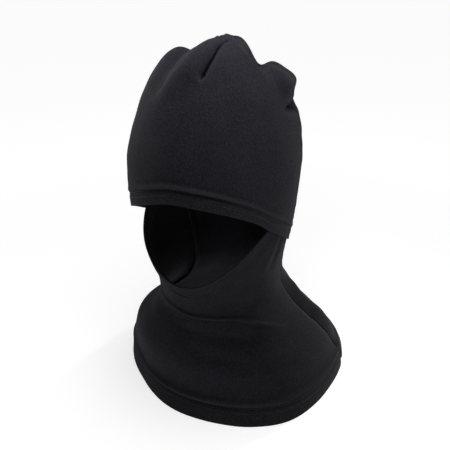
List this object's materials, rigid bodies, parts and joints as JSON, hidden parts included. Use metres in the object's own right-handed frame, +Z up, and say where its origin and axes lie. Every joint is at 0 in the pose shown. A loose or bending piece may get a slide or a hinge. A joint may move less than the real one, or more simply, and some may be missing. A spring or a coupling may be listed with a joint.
{
  "type": "balaclava",
  "caption": "Black fleece balaclava with a petalled cap, a shoulder cape and a face edge that swings up from under the chin to cover mouth and nose.",
  "frame": {"origin": "under the middle of the bounding box, on the floor that the cape's hem stands on", "axes": "+Z up from the hem to the crown, -Y the way the wearer faces, +X the wearer's left"},
  "size_m": [0.2394, 0.2606, 0.3705],
  "materials": {
    "black_fleece": "brushed black polyester fleece, matt",
    "black_thread": "black polyester sewing thread, slight sheen",
    "label_satin": "white satin ribbon, blank"
  },
  "bodies": {
    "hood": {"cap_front_panel": "black_fleece", "back_panel": "black_fleece", "lower_front_panel": "black_fleece", "left_side_seam": "black_thread", "right_side_seam": "black_thread", "front_dart_seam": "black_thread", "back_dart_seam": "black_thread", "crown_tack": "black_thread", "left_mask_tack": "black_thread", "right_mask_tack": "black_thread", "cap_hem_upper_stitches": "black_thread", "cap_hem_lower_stitches": "black_thread", "cape_hem_upper_stitches": "black_thread", "cape_hem_lower_stitches": "black_thread", "care_label": "label_satin"},
    "mask": {"face_band": "black_fleece", "face_band_upper_stitches": "black_thread", "face_band_lower_stitches": "black_thread"}
  },
  "joints": [
    {"name": "mask_swing", "type": "hinge", "parent": "hood", "child": "mask", "pos_m": [0, -0.0203, 0.205], "axis": [-1, 0, 0], "range_deg": [0, 30]}
  ]
}
